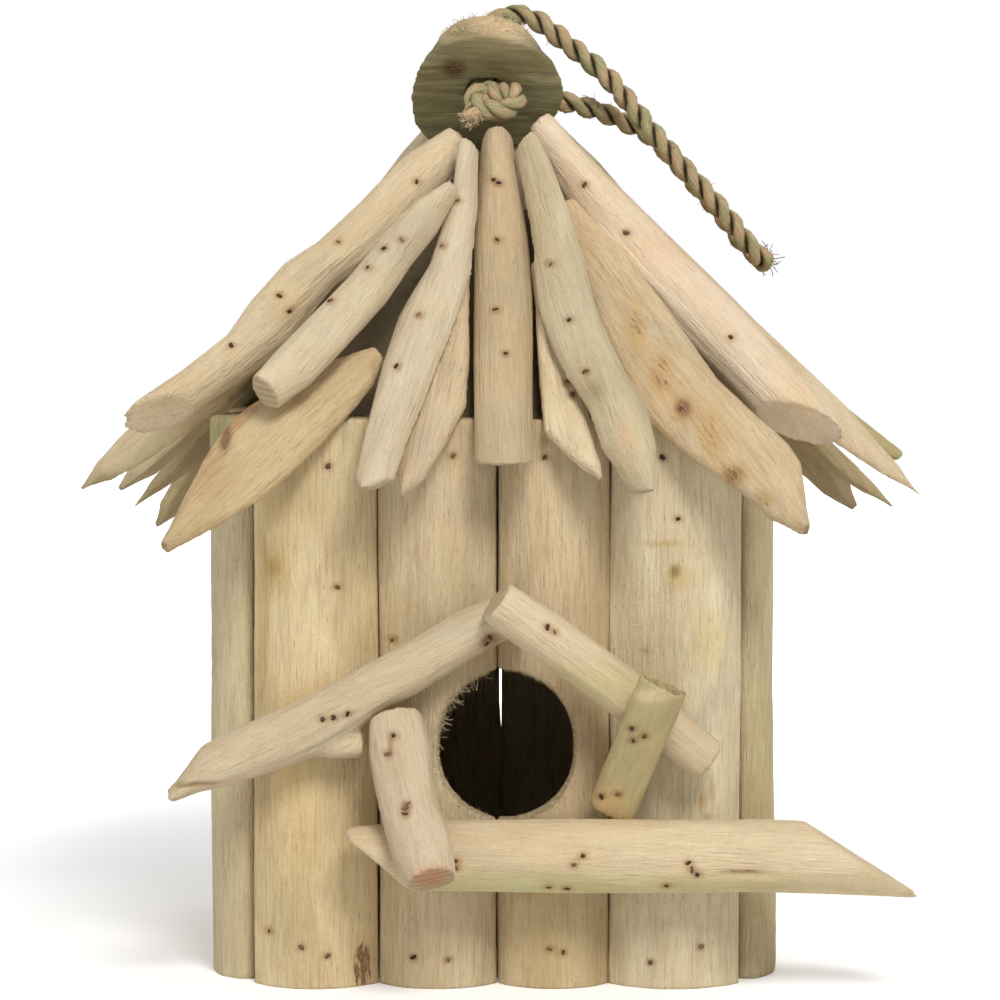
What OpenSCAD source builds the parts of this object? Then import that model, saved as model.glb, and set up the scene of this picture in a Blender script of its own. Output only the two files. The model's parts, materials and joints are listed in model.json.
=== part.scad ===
// Hanging nest box of driftwood: a square box of upright half-round slabs,
// a pyramid roof of nailed sticks, a wooden cap disc and a rope loop.
// The origin is the middle of the underside, the front faces -Y and +Z is up.

/* [Box] */
// Height of the wall slabs
wall_h = 162; // [120:1:220]
// Width of the floor and ceiling boards
board_w = 140; // [130:1:150]
// Thickness of the floor and ceiling boards
board_t = 13; // [8:1:20]
// Thickness of a slab at its crown
slab_t = 14; // [11:0.5:18]
// Thickness of a slab at its edges
slab_edge = 5; // [3:0.5:8]
// Gap between two slabs
slab_gap = 0.4; // [0.2:0.1:1]

/* [Entrance] */
// Width of the entrance hole
hole_w = 40; // [28:1:45]
// Height of the entrance hole
hole_h = 43; // [28:1:50]
// Height of the middle of the hole
hole_z = 69.7; // [60:1:90]
// Distance of the hole to the right of the middle
hole_x = 2.5; // [-10:0.5:10]

/* [Perch and gable] */
// Diameter of the perch log
perch_d = 20.6; // [12:0.2:26]
// Height of the perch log's axis
perch_z = 40.3; // [30:0.5:50]
// Diameter of the two gable sticks
gable_d = 14.4; // [10:0.2:18]

/* [Roof] */
// Diameter of the roof post
post_d = 26; // [20:1:32]
// Height of the roof post's top
post_top = 243.5; // [230:1:250]

/* [Cap and rope] */
// Diameter of the cap disc
cap_d = 46; // [40:1:60]
// Thickness of the cap disc
cap_t = 10; // [6:1:14]
// Backward lean of the cap disc
cap_tilt = 45; // [0:1:60]
// Diameter of the rope
rope_d = 6; // [4:0.5:8]

/* [Hidden] */

board_half = board_w / 2;
crown_y = board_half + slab_t;
floor_z = 1;
ceiling_z = wall_h - board_t - 2;
wood = [0.85, 0.74, 0.58];
pale_wood = [0.88, 0.79, 0.66];
brown_wood = [0.80, 0.62, 0.42];
shade_wood = [0.62, 0.58, 0.38];
rope_colour = [0.62, 0.55, 0.35];

// Where one slab stops and the next starts, seen from outside each wall
front_joints = [-70, -34, 0, 32.4, 70];
right_joints = [-70, -37, -2, 36, 70];
back_joints = [-70, -35, -2, 34, 70];
left_joints = [-70, -33, 3, 37, 70];

// Sections of a stick: half logs and boards hang under their crown line, and
// round sticks lie about their middle
half_round = [for (a = [0 : 22.5 : 180]) [cos(a) / 2, sin(a) - 1]];
full_round = [for (a = [0 : 30 : 330]) [cos(a) / 2, sin(a) / 2]];
board_round = [[0.5, -0.9], [0.46, -0.3], [0.28, 0], [-0.28, 0], [-0.46, -0.3], [-0.5, -0.9],
    [-0.4, -1], [0.4, -1]];

function unit(v) = v / norm(v);
function mix(list, t) =
    let (last = len(list) - 1, k = min(floor(t * last), last - 1), part = t * last - k)
    list[k] * (1 - part) + list[k + 1] * part;

// A stick along its line from head to foot, with a width for each ring; with
// thick 0 it is as thick as it is wide. cuts slope its two ends, head_thick
// thins its head and tip_thick its foot.
module stick(line, face, widths, thick, shape, cuts = [0, 0], head_thick = 1, tip_thick = 1) {
    rings = len(widths);
    sides = len(shape);
    along = unit(line[len(line) - 1] - line[0]);
    out = unit(face - (face * along) * along);
    side = cross(out, along);
    points = [
        for (i = [0 : rings - 1])
        let (
            t = i / (rings - 1),
            th = (thick == 0 ? widths[i] : thick) * (i == 0 ? head_thick : i == rings - 1 ? tip_thick : 1)
        )
        for (p = shape)
        mix(line, t)
            + side * (p[0] * widths[i])
            + out * (p[1] * th)
            + along * (p[1] * th * (cuts[0] * (1 - t) + cuts[1] * t))
    ];
    skins = [
        for (i = [0 : rings - 2], j = [0 : sides - 1])
        let (a = i * sides + j, b = i * sides + (j + 1) % sides)
        each [[a, b + sides, b], [a, a + sides, b + sides]]
    ];
    head_cap = [for (j = [0 : sides - 1]) j];
    foot_cap = [for (j = [sides - 1 : -1 : 0]) (rings - 1) * sides + j];
    polyhedron(points, concat([head_cap, foot_cap], skins), convexity = 4);
}

// An upright half-round slab with its flat back on the plane y = 0
module slab(width, crown) {
    rise = crown - slab_edge;
    radius = (width * width / 4 + rise * rise) / (2 * rise);
    linear_extrude(wall_h)
        intersection() {
            translate([0, radius - crown]) circle(r = radius, $fn = 96);
            translate([-width / 2, -crown]) square([width, crown]);
        }
}

// One slab of a wall, on the wall turned by angle about the box
module wall_slab(joints, index, angle, crown = slab_t) {
    left = joints[index - 1];
    right = joints[index];
    color(wood)
        rotate([0, 0, angle])
            translate([(left + right) / 2, -board_half, 0])
                slab(right - left - slab_gap, crown);
}

// The hole is two equal bores, one above the other
module entrance_bore() {
    for (side = [-1, 1])
        translate([hole_x, 0, hole_z + side * (hole_h - hole_w) / 2])
            rotate([90, 0, 0])
                cylinder(d = hole_w, h = board_w, $fn = 96);
}

module floor_board() {
    color(shade_wood)
        translate([-board_half, -board_half, 0])
            cube([board_w, board_w, board_t + floor_z]);
}

module ceiling_board() {
    color(shade_wood)
        translate([-board_half, -board_half, ceiling_z])
            cube([board_w, board_w, board_t]);
}

module roof_post() {
    color(shade_wood)
        translate([0, 0, ceiling_z + board_t])
            cylinder(d = post_d, h = post_top - ceiling_z - board_t, $fn = 64);
}

// Eight boards under the sticks, from the tops of the walls up to the post
module inner_roof() {
    flat = 1 / cos(22.5);
    color(shade_wood)
        translate([0, 0, wall_h])
            rotate([0, 0, 22.5])
                difference() {
                    cylinder(r1 = 76 * flat, r2 = 17.5 * flat, h = 63, $fn = 8);
                    translate([0, 0, -0.01])
                        cylinder(r1 = 72 * flat, r2 = 13.4 * flat, h = 63.02, $fn = 8);
                }
}

module front_slab(index) {
    difference() {
        wall_slab(front_joints, index, 0);
        entrance_bore();
    }
}

// Lower layer of the roof: flat pointed slats, numbered from the front to the right
module roof_slat_1() {
    color(wood)
        stick([[12.5, -52.5, 208.5], [15, -61.5, 197.5], [16.5, -73, 183], [19.5, -84, 169],
            [20.5, -89.5, 162.5], [24.5, -95.5, 155.5], [29.5, -101.5, 148.5]], [0.1, -0.78, 0.6],
            [4.5, 7, 10, 14, 15, 8.5, 1.5], 4.5, board_round);
}

module roof_slat_2() {
    color(brown_wood)
        stick([[19, -35, 225], [29.5, -52.5, 208.5], [40, -67, 190], [51, -84, 170.5],
            [62, -92.5, 159.8], [75.7, -101.5, 148.7], [81, -107.5, 141], [85.5, -112.5, 135.5]],
            [0.12, -0.8, 0.58], [6, 13, 19, 23.5, 21.5, 17, 11.5, 2], 5, board_round);
}

module roof_slat_3() {
    color(wood)
        stick([[28, 7, 224], [126.4, 30, 132.8]], [0.66, 0.14, 0.72],
            [5, 9, 13, 16, 18, 14, 2], 6, board_round, tip_thick = 0.3);
}

module roof_slat_4() {
    color(wood)
        stick([[25, 14, 228], [55, 28.5, 198.5], [84, 42.5, 171], [101.5, 51, 151.5], [119, 58, 132.2]],
            [0.62, 0.3, 0.72], [5, 9, 14, 19, 22, 21, 7], 6, board_round);
}

module roof_slat_5() {
    color(wood)
        stick([[33, 49, 213.5], [77, 113, 136]], [0.42, 0.54, 0.72],
            [6, 13, 20, 25, 26, 18, 4], 6, board_round);
}

module roof_slat_6() {
    color(wood)
        stick([[4.6, 49, 209], [11, 121, 134]], [0.08, 0.7, 0.72],
            [5, 11, 17, 23, 24, 16, 4], 6, board_round);
}

module roof_slat_7() {
    color(wood)
        stick([[-23, 48, 214.5], [-54, 112, 140]], [-0.3, 0.62, 0.72],
            [5, 12, 19, 25, 25, 17, 4], 6, board_round);
}

module roof_slat_8() {
    color(wood)
        stick([[-42, 41, 212], [-80, 69, 171], [-117, 96, 124]], [-0.54, 0.42, 0.72],
            [6, 12, 18, 23, 22, 15, 5], 6, board_round);
}

module roof_slat_9() {
    color(wood)
        stick([[-26, 20, 223], [-74, 41, 181.5], [-119, 60, 131]], [-0.62, 0.3, 0.72],
            [6, 11, 16, 21, 21, 15, 1.5], 6, board_round, tip_thick = 0.2);
}

module roof_slat_10() {
    color(wood)
        stick([[-34.5, -73, 183], [-40.8, -77, 178.3], [-50, -82.5, 171.8], [-61.2, -90, 163],
            [-68.5, -95, 156.3], [-74.5, -100.5, 149.3], [-82, -107.5, 140.8], [-91.5, -114.5, 131]],
            [-0.12, -0.82, 0.56], [5, 14, 20.5, 25, 25, 21.5, 14, 3], 5, board_round);
}

module roof_slat_11() {
    color(wood)
        stick([[-10, -52.5, 208.5], [-11.5, -61.5, 197.5], [-13.5, -73, 183], [-16, -83.5, 170],
            [-20, -91, 160.5], [-24, -99.5, 150], [-27, -104.5, 144]], [-0.1, -0.78, 0.6],
            [3.5, 6.5, 11, 15.5, 13, 8.5, 1.5], 4.5, board_round);
}

// Upper layer of the roof: half-round and round sticks, numbered in the same way
module roof_pole_1() {
    color(pale_wood)
        stick([[0.2, -24.4, 249.5], [1.8, -63, 201.8], [2.4, -103.4, 151.5]], [0, -0.78, 0.63],
            [9.5, 13, 16.5, 18, 18.2, 17.8, 17.4], 8.5, half_round, cuts = [0, 0.8]);
}

module roof_pole_2() {
    color(pale_wood)
        stick([[10.5, -34, 247], [17, -50.5, 227], [22, -70.5, 202], [29, -86, 182.5],
            [38.2, -98, 167.5], [43.2, -113.5, 145]], [0.3, -0.72, 0.63],
            [7.5, 9.5, 12, 14.6, 16.8, 17.8, 17.8, 17.4, 16.5, 5], 10, half_round, cuts = [0, 0.6]);
}

module roof_pole_3() {
    color(pale_wood)
        stick([[13.7, -19, 250], [30.8, -31, 226], [42.8, -40, 211], [56, -49, 196],
            [70.7, -59, 180.5], [87.2, -70, 161.8]], [0.77, 0.53, 0.34],
            [8, 14, 19, 20.5, 20.8, 19.4, 17], 0, full_round, cuts = [0, 1.24]);
}

module roof_pole_4() {
    color(wood)
        stick([[24, -4, 246], [52, -4.5, 218], [80, -5, 190.3], [108, -6, 164.2], [132, -6, 138]],
            [0.64, -0.25, 0.72], [9, 18, 20, 18, 3], 10, half_round, tip_thick = 0.25);
}

module roof_pole_5() {
    color(shade_wood)
        stick([[20, 7, 240], [56, 15, 206], [91, 23, 172], [128, 31, 148]], [0.68, 0.15, 0.72],
            [8, 10, 11, 11, 10, 8, 4.5], 0, full_round);
}

module roof_pole_6() {
    color(pale_wood)
        stick([[14, 13, 251], [88, 76, 165]], [0.5, 0.5, 0.7],
            [9, 13, 17, 18, 18, 17, 15], 15, full_round, head_thick = 0.6);
}

module roof_pole_7() {
    color(wood)
        stick([[8, 22, 256], [39, 107, 160]], [0.2, 0.68, 0.7],
            [9, 13, 17, 19, 19, 18, 17], 10, half_round, cuts = [0, 0.6]);
}

module roof_pole_8() {
    color(pale_wood)
        stick([[-4, 23, 256], [-19, 109, 157]], [-0.1, 0.7, 0.7],
            [9, 12, 15, 17, 18, 17, 15], 10, half_round, cuts = [0, 0.4]);
}

module roof_pole_9() {
    color(pale_wood)
        stick([[-14, 14, 254], [-77, 85, 172]], [-0.45, 0.55, 0.7],
            [9, 13, 17, 19, 18, 17, 16], 14, full_round, head_thick = 0.6);
}

module roof_pole_10() {
    color(wood)
        stick([[-17.5, 6.5, 240.5], [-122.5, 33, 140.5]], [-0.68, 0.18, 0.72],
            [9, 12, 15, 17, 17, 15, 9], 8, half_round, tip_thick = 0.8);
}

module roof_pole_11() {
    color(wood)
        stick([[-31, -8, 229], [-50, -13, 209.5], [-70, -18, 190], [-88, -22, 173.5], [-101, -24, 163.5],
            [-113.5, -23, 153.5], [-127.8, -20, 142]], [-0.55, -0.48, 0.68],
            [8, 14, 22, 28, 26, 18.5, 2.5], 5, board_round);
}

module roof_pole_12() {
    color(pale_wood)
        stick([[-12, -18, 246], [-22.5, -23, 235], [-33.8, -28, 222], [-46.6, -34, 210.3],
            [-56.6, -38, 203.8], [-64.8, -41, 194], [-72, -44, 184], [-85, -48, 173.6],
            [-99.3, -51, 164.3]], [-0.6, 0.73, 0.33], [9, 15.5, 16.4, 16, 16, 16.4, 14.8, 14.6, 14.4],
            0, full_round, cuts = [0, 1.2]);
}

module roof_pole_13() {
    color(pale_wood)
        stick([[-13.5, -49, 229], [-20.5, -55, 221], [-29, -62, 211.5], [-37.5, -71, 200],
            [-50, -83, 186], [-58, -90, 177.5], [-65, -95.5, 171.5]], [-0.35, -0.65, 0.65],
            [3.5, 8, 11.5, 14.5, 15.5, 15, 9], 13, full_round, head_thick = 0.5);
}

module roof_pole_14() {
    color(pale_wood)
        stick([[-10, -33, 245.5], [-11, -46, 229.5], [-15.5, -62, 209], [-22, -74, 194.5],
            [-26.8, -85.5, 180.5], [-30, -94.5, 169], [-33.2, -103, 158.5], [-35.7, -111, 148.7],
            [-37.2, -113.3, 145.8]],
            [-0.2, -0.75, 0.63], [7, 8.5, 12.6, 16.4, 15.6, 14.7, 13, 11.6, 4], 8, half_round,
            cuts = [0, 0.7]);
}

// The cap disc leans back on the post's top, with its bored underside facing forward
cap_centre = [-2.8, -12, 259.9];
module cap_disc() {
    color(brown_wood)
        translate(cap_centre)
            rotate([90 + cap_tilt, 0, 0])
                difference() {
                    translate([0, 0, -cap_t]) cylinder(d = cap_d, h = cap_t, $fn = 96);
                    translate([0, 0, -cap_t - 1]) cylinder(d = 13, h = cap_t + 2, $fn = 48);
                }
}

perch_y = -crown_y - perch_d / 2;
perch_left = -42;
perch_right = 117.8;
module perch() {
    color(pale_wood)
        difference() {
            translate([perch_left, perch_y, perch_z])
                rotate([0, 90, 0])
                    cylinder(d = perch_d, h = perch_right - perch_left, $fn = 64);
            translate([86.6, perch_y - perch_d, perch_z + perch_d / 2])
                rotate([0, 33.4, 0])
                    cube([60, 2 * perch_d, 40]);
            translate([perch_left, perch_y - perch_d, perch_z + 8])
                rotate([0, 45, 0])
                    translate([-10, 0, -40])
                        cube([60, 2 * perch_d, 40]);
        }
}

// The left gable stick keeps the stub of a side branch
module gable_stick_left() {
    color(wood)
        stick([[7, -91.2, 107], [-8, -91.2, 101], [-23, -91.2, 92.5], [-38, -91.2, 85],
            [-52, -91.2, 76.5], [-66, -91.2, 71], [-80, -91.2, 65.5], [-92, -91.2, 58.5]],
            [0, -1, 0], [12, 14.2, 14.6, 15, 17, 16, 14, 4], gable_d, full_round);
    color(pale_wood)
        translate([-52, -91.2, 72.5])
            rotate([0, 97, 0])
                cylinder(d1 = 9.5, d2 = 7.4, h = 14.5, $fn = 24);
}

module gable_stick_right() {
    color(pale_wood)
        stick([[0, -104.3, 113.2], [30, -98, 91.5], [58.7, -91.8, 67.7]], [0, -1, 0],
            [13, 14.2, 14, 14, 13.4, 12.6], gable_d - 1, full_round);
}

module post_left() {
    color(pale_wood)
        stick([[-28.5, -92.5, 79], [-25, -103, 57], [-18.5, -114.5, 39.4]], [0, -1, 0],
            [14, 16.5, 15.5, 15.5, 16, 13], 15, full_round);
}

module post_right() {
    color(wood)
        stick([[45, -115, 90], [31.5, -92, 51.6]], [0, -1, 0.4],
            [14, 14.6, 14.2, 14, 14], 4, board_round);
}

// One leg of the rope rises behind the disc and runs down to the right, in front of
// the other leg, which it meets at the bend
rope_route = [
    [-5.9, -11.6, 260.3], [-5.9, -6, 266], [-5.5, -1, 273], [-2.5, 3.5, 280.5], [3.5, 5, 285.6],
    [12, 5, 283.8], [21.2, 4, 276.9], [32, 2, 268], [40, 0.5, 259], [47.8, -1, 249],
    [60, -2, 235], [69.5, -2, 224.5], [77, -1, 215], [81.5, 2.5, 210.5], [83, 8, 209.5],
    [81.5, 13.5, 211.5], [77.5, 16.5, 215.5], [70, 17, 225], [60.5, 17, 236], [48.5, 16, 248.5],
    [38.7, 14, 253.5], [29.5, 11, 256.8], [20.5, 7.5, 259], [12, 6, 263], [5, 1.5, 267],
    [0.3, -6, 266], [0.3, -11.6, 260.3]
];
module tube(route, d, sides) {
    rings = len(route);
    points = [
        for (i = [0 : rings - 1])
        let (
            along = unit(route[min(i + 1, rings - 1)] - route[max(i - 1, 0)]),
            side = unit(cross(along, [0.05, 0.2, 1])),
            out = cross(side, along)
        )
        for (j = [0 : sides - 1])
        route[i] + (side * cos(360 * j / sides) + out * sin(360 * j / sides)) * d / 2
    ];
    skins = [
        for (i = [0 : rings - 2], j = [0 : sides - 1])
        let (a = i * sides + j, b = i * sides + (j + 1) % sides)
        each [[a, b, b + sides], [a, b + sides, a + sides]]
    ];
    start_cap = [for (j = [sides - 1 : -1 : 0]) j];
    end_cap = [for (j = [0 : sides - 1]) (rings - 1) * sides + j];
    polyhedron(points, concat([start_cap, end_cap], skins), convexity = 6);
}

module rope_loop() {
    color(rope_colour) tube(rope_route, rope_d, 8);
}

// The rope's knot, wider than tall, against the underside of the disc
module rope_knot() {
    color(rope_colour)
        hull()
            for (x = [-4.2, 3])
                translate([x, -18, 258.2])
                    sphere(d = 11, $fn = 24);
}

floor_board();
ceiling_board();
roof_post();
inner_roof();
front_slab(1);  // front_slab_1
front_slab(2);  // front_slab_2
front_slab(3);  // front_slab_3
front_slab(4);  // front_slab_4
wall_slab(right_joints, 1, 90, slab_t - 1.5);  // right_slab_1
wall_slab(right_joints, 2, 90, slab_t - 1.5);  // right_slab_2
wall_slab(right_joints, 3, 90, slab_t - 1.5);  // right_slab_3
wall_slab(right_joints, 4, 90, slab_t - 1.5);  // right_slab_4
wall_slab(back_joints, 1, 180);  // back_slab_1
wall_slab(back_joints, 2, 180);  // back_slab_2
wall_slab(back_joints, 3, 180);  // back_slab_3
wall_slab(back_joints, 4, 180);  // back_slab_4
wall_slab(left_joints, 1, 270);  // left_slab_1
wall_slab(left_joints, 2, 270);  // left_slab_2
wall_slab(left_joints, 3, 270);  // left_slab_3
wall_slab(left_joints, 4, 270);  // left_slab_4
roof_slat_1();
roof_slat_2();
roof_slat_3();
roof_slat_4();
roof_slat_5();
roof_slat_6();
roof_slat_7();
roof_slat_8();
roof_slat_9();
roof_slat_10();
roof_slat_11();
roof_pole_1();
roof_pole_2();
roof_pole_3();
roof_pole_4();
roof_pole_5();
roof_pole_6();
roof_pole_7();
roof_pole_8();
roof_pole_9();
roof_pole_10();
roof_pole_11();
roof_pole_12();
roof_pole_13();
roof_pole_14();
cap_disc();
perch();
gable_stick_left();
gable_stick_right();
post_left();
post_right();
rope_loop();
rope_knot();
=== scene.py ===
import json
import math
import bmesh
import bpy
import numpy as np
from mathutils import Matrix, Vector
from mathutils.bvhtree import BVHTree

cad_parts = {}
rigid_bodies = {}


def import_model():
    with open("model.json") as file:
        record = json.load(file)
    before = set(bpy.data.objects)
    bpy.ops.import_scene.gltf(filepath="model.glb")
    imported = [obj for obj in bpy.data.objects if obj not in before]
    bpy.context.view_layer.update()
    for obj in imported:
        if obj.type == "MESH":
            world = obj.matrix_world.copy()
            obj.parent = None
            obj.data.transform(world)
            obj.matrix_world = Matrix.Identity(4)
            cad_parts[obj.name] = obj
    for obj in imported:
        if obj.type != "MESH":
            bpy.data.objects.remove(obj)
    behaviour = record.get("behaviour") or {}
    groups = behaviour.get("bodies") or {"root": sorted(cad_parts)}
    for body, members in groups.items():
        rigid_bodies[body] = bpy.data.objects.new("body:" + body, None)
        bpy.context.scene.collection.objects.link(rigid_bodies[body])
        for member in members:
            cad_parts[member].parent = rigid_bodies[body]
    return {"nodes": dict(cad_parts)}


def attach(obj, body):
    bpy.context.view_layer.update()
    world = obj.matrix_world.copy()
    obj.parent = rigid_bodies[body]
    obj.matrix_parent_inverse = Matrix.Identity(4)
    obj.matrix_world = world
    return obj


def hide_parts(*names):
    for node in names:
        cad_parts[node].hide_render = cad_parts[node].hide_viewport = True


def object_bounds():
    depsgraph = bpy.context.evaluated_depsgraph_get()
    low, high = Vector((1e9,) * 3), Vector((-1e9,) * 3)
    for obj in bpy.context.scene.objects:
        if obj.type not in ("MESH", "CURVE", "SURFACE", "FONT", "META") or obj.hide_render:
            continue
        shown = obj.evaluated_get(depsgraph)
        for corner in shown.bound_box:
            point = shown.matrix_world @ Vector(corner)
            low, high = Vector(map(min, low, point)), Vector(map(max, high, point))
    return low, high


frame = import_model()
cad_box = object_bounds()
nodes = frame["nodes"]
scene = bpy.context.scene

# ---------------------------------------------------------------- Camera
# A long lens a metre in front of the box, level with the eaves and tipped
# down a little, so that roof and floor both fill the frame.
camera = bpy.data.objects.new("camera", bpy.data.cameras.new("camera"))
camera.data.lens = 116.3
camera.data.clip_start = 0.05
camera.location = (0, -1.0, 0.1935)
camera.rotation_euler = (math.radians(90 - 3.315), 0, math.radians(-0.053))
scene.collection.objects.link(camera)
scene.camera = camera
scene.view_settings.view_transform = "Standard"

# ---------------------------------------------------------------- Rope loop
# A laid rope of dried grass, two strands twisted together. Both its ends go
# down through the cap disc into the knot, and the loop stands out stiffly to
# the right, where a hook would take it.
mm = 0.001
rope_route = [
    (-0.0059, -0.0116, 0.2603), (-0.0059, -0.006, 0.266), (-0.0055, -0.001, 0.273),
    (-0.0025, 0.0035, 0.2805), (0.0035, 0.005, 0.2856), (0.012, 0.005, 0.2838), (0.0212, 0.004, 0.2769),
    (0.032, 0.002, 0.268), (0.04, 0.0005, 0.259), (0.0478, -0.001, 0.249), (0.06, -0.002, 0.235),
    (0.0695, -0.002, 0.2245), (0.077, -0.001, 0.215), (0.0815, 0.0025, 0.2105), (0.083, 0.008, 0.2095),
    (0.0815, 0.0135, 0.2115), (0.0775, 0.0165, 0.2155), (0.07, 0.017, 0.225), (0.0605, 0.017, 0.236),
    (0.0485, 0.016, 0.2485), (0.0387, 0.014, 0.2535), (0.0295, 0.011, 0.2568), (0.0205, 0.0075, 0.259),
    (0.012, 0.006, 0.263), (0.005, 0.0015, 0.267), (0.0003, -0.006, 0.266), (0.0003, -0.0116, 0.2603),
]


def smooth_line(points, steps=8):
    """A smooth line through the points, as rows."""
    rows = [np.array(p, float) for p in points]
    rows = [2 * rows[0] - rows[1]] + rows + [2 * rows[-1] - rows[-2]]
    line = []
    for a, b, c, d in zip(rows, rows[1:], rows[2:], rows[3:]):
        for t in np.arange(steps) / steps:
            line.append(
                0.5 * (2 * b + (c - a) * t + (2 * a - 5 * b + 4 * c - d) * t**2
                       + (3 * b - a - 3 * c + d) * t**3)
            )
    line.append(rows[-2])
    return np.array(line)


def add(tree, kind, inputs=None, **settings):
    """A node with its settings, and its inputs set or linked."""
    node = tree.nodes.new(kind)
    for key, value in settings.items():
        setattr(node, key, value)
    for key, value in (inputs or {}).items():
        if isinstance(value, bpy.types.NodeSocket):
            tree.links.new(value, node.inputs[key])
        else:
            node.inputs[key].default_value = value
    return node


def new_tree(name, **sockets):
    """A Geometry Nodes tree with named inputs: (tree, its inputs, its output)."""
    tree = bpy.data.node_groups.new(name, "GeometryNodeTree")
    face = tree.interface
    face.new_socket("Geometry", in_out="INPUT", socket_type="NodeSocketGeometry")
    for label, kind in sockets.items():
        face.new_socket(label, in_out="INPUT", socket_type="NodeSocket" + kind)
    face.new_socket("Geometry", in_out="OUTPUT", socket_type="NodeSocketGeometry")
    return tree, tree.nodes.new("NodeGroupInput").outputs, tree.nodes.new("NodeGroupOutput").inputs[0]


def math_of(tree, operation, *values):
    """The result of a sum on numbers and sockets."""
    node = add(tree, "ShaderNodeMath", dict(enumerate(values)), operation=operation)
    return node.outputs[0]


def vector_of(tree, operation, *values, **extra):
    """The result of a sum on vectors; extra holds inputs by name."""
    ins = dict(enumerate(values))
    ins.update(extra)
    return add(tree, "ShaderNodeVectorMath", ins, operation=operation).outputs[0]


def stored(tree, geometry, name, value, kind="FLOAT", domain="POINT"):
    """The geometry with the value kept on it as a named attribute."""
    ins = {"Geometry": geometry, "Name": name, "Value": value}
    return add(tree, "GeometryNodeStoreNamedAttribute", ins, data_type=kind, domain=domain).outputs[0]


def named(tree, name, kind="FLOAT"):
    """What a named attribute of the geometry holds."""
    return add(tree, "GeometryNodeInputNamedAttribute", {"Name": name}, data_type=kind).outputs[0]


def closed(tree, geometry, finish, out):
    """The tree's end: real geometry with its material."""
    whole = add(tree, "GeometryNodeRealizeInstances", {0: geometry}).outputs[0]
    whole = add(tree, "GeometryNodeSetMaterial", {"Geometry": whole, "Material": finish}).outputs[0]
    tree.links.new(whole, out)


def grown(name, carrier, tree, **values):
    """What the tree makes from the carrier mesh, as an object with a plain mesh."""
    holder = bpy.data.objects.new(name + "_holder", carrier)
    scene.collection.objects.link(holder)
    modifier = holder.modifiers.new("nodes", "NODES")
    modifier.node_group = tree
    for item in tree.interface.items_tree:
        if item.in_out == "INPUT" and item.name in values:
            modifier[item.identifier] = values[item.name]
    graph = bpy.context.evaluated_depsgraph_get()
    mesh = bpy.data.meshes.new_from_object(holder.evaluated_get(graph), depsgraph=graph)
    bpy.data.objects.remove(holder)
    mesh.name = name
    piece = bpy.data.objects.new(name, mesh)
    scene.collection.objects.link(piece)
    return piece


def shown_as(piece, slot, *stands_for):
    """The piece rides on the box, for the CAD pieces it stands for; slot is not used."""
    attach(piece, "root")
    if stands_for:
        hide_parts(*stands_for)
    return piece


def shader(name, roughness):
    """A new material: (its tree, its main shader)."""
    material = bpy.data.materials.new(name)
    material.use_nodes = True
    main = material.node_tree.nodes["Principled BSDF"]
    main.inputs["Roughness"].default_value = roughness
    main.inputs["Specular IOR Level"].default_value = 0.25
    return material, material.node_tree, main


def attribute(tree, name, output="Vector"):
    return add(tree, "ShaderNodeAttribute", attribute_name=name).outputs[output]


def stretched(tree, vector, scale, detail, roughness=0.55, distortion=0.0):
    """Noise read on a vector that is scaled by a triple, from 0 to 1."""
    there = vector_of(tree, "MULTIPLY", vector, scale)
    ins = {"Vector": there, "Scale": 1.0, "Detail": detail, "Roughness": roughness,
           "Distortion": distortion}
    return add(tree, "ShaderNodeTexNoise", ins).outputs["Fac"]


def ramp(tree, value, low, high):
    """value taken from low to high onto 0 to 1, with soft ends."""
    node = add(tree, "ShaderNodeMapRange", {"Value": value, "From Min": low, "From Max": high},
               interpolation_type="SMOOTHSTEP")
    return node.outputs["Result"]


def blend(tree, amount, first, second, kind="MIX"):
    """Two colours mixed; each is a triple or a socket."""
    node = add(tree, "ShaderNodeMix", data_type="RGBA", blend_type=kind)
    for socket, value in ((node.inputs[0], amount), (node.inputs[6], first), (node.inputs[7], second)):
        if isinstance(value, bpy.types.NodeSocket):
            tree.links.new(value, socket)
        else:
            socket.default_value = value if isinstance(value, float) else (*value, 1)
    return node.outputs[2]


def bumped(tree, main, height, strength, distance):
    """The main shader gets the height as relief."""
    node = add(tree, "ShaderNodeBump", {"Height": height, "Strength": strength, "Distance": distance})
    tree.links.new(node.outputs[0], main.inputs["Normal"])


# Dried grass: straw and olive fibres that run round each strand
rope_grass, shade, main = shader("dried_grass", 0.85)
fibre = attribute(shade, "grain")
strand_tone = stretched(shade, fibre, (0.35, 0.13, 0.35), detail=2)
fine_tone = stretched(shade, fibre, (5.0, 0.35, 5.0), detail=4)
grass = blend(shade, ramp(shade, strand_tone, 0.40, 0.58), (0.33, 0.31, 0.15), (0.49, 0.34, 0.185))
grass = blend(shade, ramp(shade, fine_tone, 0.52, 0.74), grass, (0.66, 0.57, 0.37))
grass = blend(shade, ramp(shade, fine_tone, 0.46, 0.28), grass, (0.17, 0.125, 0.05))
# Painted shade: the grass darkens in the creases between the strands, towards the rope's axis
painted_crease_shade = attribute(shade, "out_from_axis", "Fac")
grass = blend(shade, ramp(shade, painted_crease_shade, 0.86, 0.5), grass, (0.07, 0.045, 0.018))
shade.links.new(grass, main.inputs["Base Color"])
bumped(shade, main, fine_tone, 0.7, 0.0006)

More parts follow.
